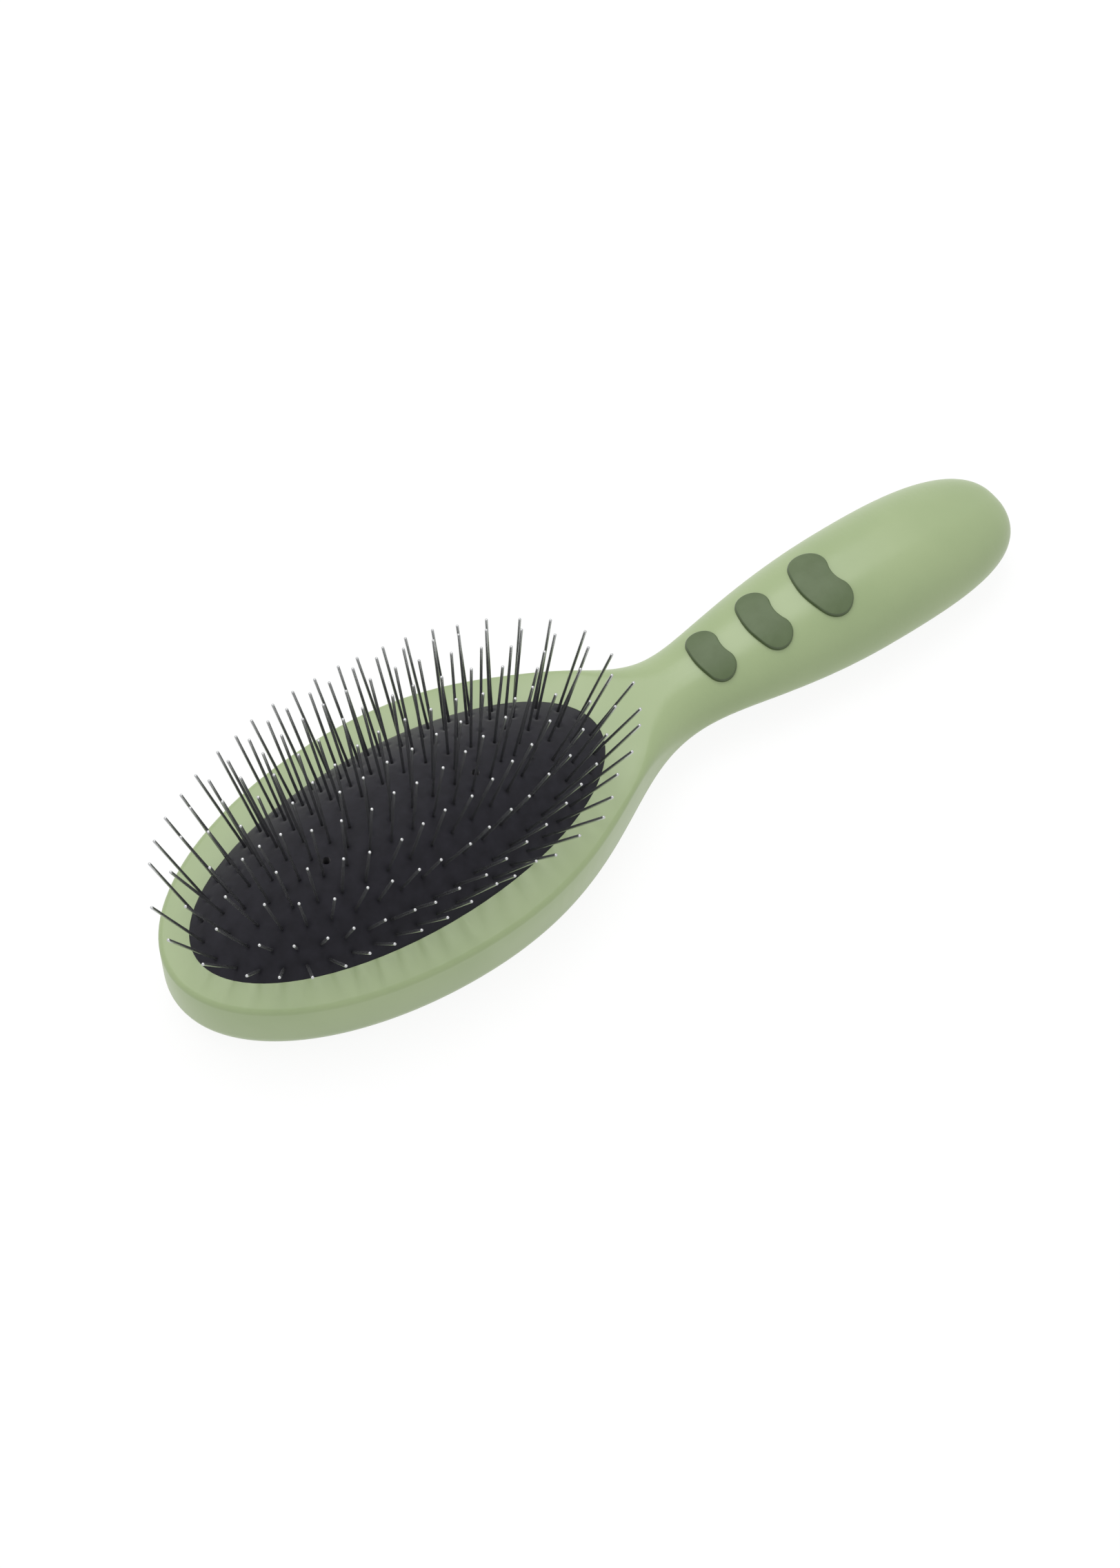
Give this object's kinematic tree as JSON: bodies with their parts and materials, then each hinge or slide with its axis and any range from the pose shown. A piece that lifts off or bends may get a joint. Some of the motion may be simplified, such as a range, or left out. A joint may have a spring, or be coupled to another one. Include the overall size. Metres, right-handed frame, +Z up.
{
  "type": "pin brush",
  "caption": "Oval pin brush with straight steel pins in a domed rubber air cushion, a moulded plastic body and kidney-shaped thumb grips on the handle.",
  "frame": {"origin": "centre of the flat back of the head, under the middle of the cushion", "axes": "+X along the brush towards the end of the handle, +Y across it, +Z up out of the back, the way the pins point"},
  "size_m": [0.2353, 0.0668, 0.0533],
  "materials": {
    "handle_plastic": "satin moulded plastic, soft green",
    "cushion_rubber": "matte black moulded rubber",
    "pin_steel": "drawn steel wire with polished tips",
    "grip_rubber": "smooth dark green soft rubber"
  },
  "bodies": {
    "root": {"handle_body": "handle_plastic", "rubber_cushion": "cushion_rubber", "pins_middle_row": "pin_steel", "pins_ring_1": "pin_steel", "pins_ring_2": "pin_steel", "pins_ring_3": "pin_steel", "pins_ring_4": "pin_steel", "pins_ring_5": "pin_steel", "grip_small": "grip_rubber", "grip_middle": "grip_rubber", "grip_large": "grip_rubber"}
  },
  "joints": []
}
